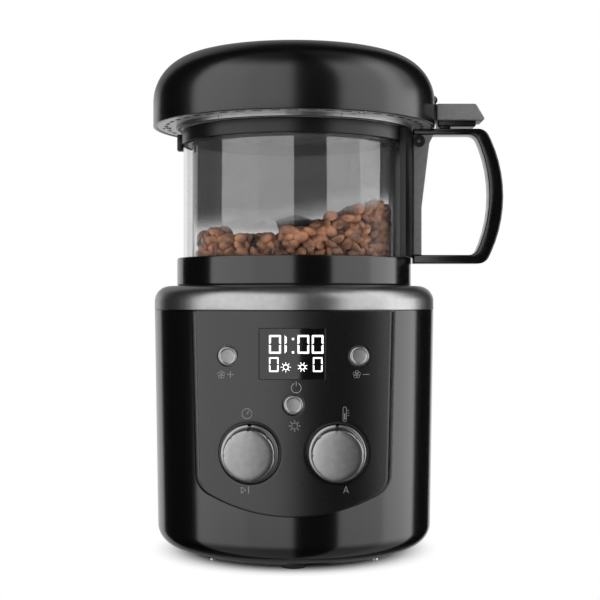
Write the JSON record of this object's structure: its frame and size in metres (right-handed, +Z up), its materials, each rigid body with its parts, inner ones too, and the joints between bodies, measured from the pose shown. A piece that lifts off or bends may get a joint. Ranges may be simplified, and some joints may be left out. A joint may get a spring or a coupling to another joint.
{
  "type": "coffee bean roaster",
  "caption": "Countertop coffee bean roaster: drum base with front controls, a lift-off double-walled glass jar with a D handle and stirrer, and a domed lid hinged above the handle.",
  "frame": {"origin": "on the drum's vertical axis, at the plane the feet rest on", "axes": "+Z up along the drum's axis, +X towards the jar's handle, -Y out of the control panel"},
  "size_m": [0.2434, 0.2085, 0.3456],
  "materials": {
    "black_gloss": "glossy",
    "black_satin": "satin",
    "lid_black": "satin gloss",
    "grey_plastic": "satin",
    "silver_ring": "satin silver",
    "silver_knob": "satin",
    "bright_metal": "satin",
    "drive_steel": "bright",
    "stirrer_metal": "polished",
    "coupling_plastic": "matt",
    "bush_bronze": "sintered",
    "clear_glass": "clear",
    "smoked_glass": "lightly smoked",
    "display_glass": "glossy window",
    "seal_silicone": "matt",
    "foot_rubber": "matt",
    "circuit_board": "solder mask",
    "housing_plastic": "matt",
    "motor_steel": "plated",
    "heater_steel": "plain",
    "element_alloy": "oxidised",
    "mica_board": "mica"
  },
  "bodies": {
    "base": {"base_shell": "black_gloss", "top_ring": "silver_ring", "seat_plate": "bright_metal", "shaft_bush": "bush_bronze", "base_plate": "black_satin", "feet": "foot_rubber", "base_screws": "drive_steel", "control_panel": "black_gloss", "display_window": "display_glass", "display_module": "housing_plastic", "control_board": "circuit_board", "encoders": "coupling_plastic", "tact_switches": "coupling_plastic", "power_board": "circuit_board", "power_inlet": "housing_plastic", "blower_housing": "housing_plastic", "blower_motor": "motor_steel", "air_duct": "heater_steel", "heater_can": "heater_steel", "heating_element": "element_alloy", "heater_support": "mica_board", "stir_gearcase": "housing_plastic", "stir_motor": "motor_steel"},
    "jar": {"jar_base": "black_gloss", "chamber_floor": "bright_metal", "floor_bush": "bush_bronze", "outer_glass": "clear_glass", "inner_glass": "smoked_glass", "lower_seals": "seal_silicone", "upper_seals": "seal_silicone", "rim_ring": "black_satin", "handle_saddle": "black_satin", "handle": "black_gloss", "handle_root": "grey_plastic", "handle_screw": "black_satin", "hinge_bracket": "black_satin", "hinge_pin": "drive_steel"},
    "lid": {"lid_dome": "lid_black", "lid_underplate": "bright_metal", "lid_collar": "silver_ring", "lid_liner": "bright_metal", "lid_seal": "seal_silicone", "chaff_filter": "bright_metal", "lid_latch": "silver_ring", "lid_screws": "drive_steel"},
    "stirrer": {"stirrer_hub": "stirrer_metal", "stirrer_arms": "stirrer_metal", "stirrer_shaft": "drive_steel", "driven_coupling": "coupling_plastic"},
    "drive": {"drive_shaft": "drive_steel", "drive_coupling": "coupling_plastic"},
    "impeller": {"blower_impeller": "housing_plastic"},
    "time_dial": {"time_rotor": "coupling_plastic"},
    "time_knob": {"time_knob": "silver_knob"},
    "temperature_dial": {"temperature_rotor": "coupling_plastic"},
    "temperature_knob": {"temperature_knob": "silver_knob"},
    "fan_up_button": {"fan_up_button": "silver_knob"},
    "fan_down_button": {"fan_down_button": "silver_knob"},
    "power_button": {"power_button": "silver_knob"}
  },
  "joints": [
    {"name": "jar_lift", "type": "slide", "parent": "base", "child": "jar", "axis": [0, 0, 1], "range_m": [0, 0.06]},
    {"name": "lid_hinge", "type": "hinge", "parent": "jar", "child": "lid", "pos_m": [0.0964, 0, 0.311], "axis": [0, 1, 0], "range_deg": [0, 92]},
    {"name": "stirrer_spin", "type": "hinge", "parent": "jar", "child": "stirrer", "pos_m": [0, 0, 0.2], "axis": [0, 0, 1], "continuous": true},
    {"name": "drive_spin", "type": "hinge", "parent": "base", "child": "drive", "pos_m": [0, 0, 0.178], "axis": [0, 0, 1], "continuous": true},
    {"name": "blower_spin", "type": "hinge", "parent": "base", "child": "impeller", "pos_m": [0, 0, 0.03], "axis": [0, 0, 1], "continuous": true},
    {"name": "time_turn", "type": "hinge", "parent": "base", "child": "time_dial", "pos_m": [-0.0274, -0.09, 0.0767], "axis": [0, -1, 0], "continuous": true},
    {"name": "time_push", "type": "slide", "parent": "time_dial", "child": "time_knob", "axis": [0, 1, 0], "range_m": [0, 0.0008], "stiffness_N_per_m": 600},
    {"name": "temperature_turn", "type": "hinge", "parent": "base", "child": "temperature_dial", "pos_m": [0.0274, -0.09, 0.0767], "axis": [0, -1, 0], "continuous": true},
    {"name": "temperature_push", "type": "slide", "parent": "temperature_dial", "child": "temperature_knob", "axis": [0, 1, 0], "range_m": [0, 0.0008], "stiffness_N_per_m": 600},
    {"name": "fan_up_press", "type": "slide", "parent": "base", "child": "fan_up_button", "axis": [0, 1, 0], "range_m": [0, 0.001], "stiffness_N_per_m": 400},
    {"name": "fan_down_press", "type": "slide", "parent": "base", "child": "fan_down_button", "axis": [0, 1, 0], "range_m": [0, 0.001], "stiffness_N_per_m": 400},
    {"name": "power_press", "type": "slide", "parent": "base", "child": "power_button", "axis": [0, 1, 0], "range_m": [0, 0.001], "stiffness_N_per_m": 400}
  ],
  "couplings": [
    {"joint": "drive_spin", "follows": "stirrer_spin", "ratio": 1}
  ]
}
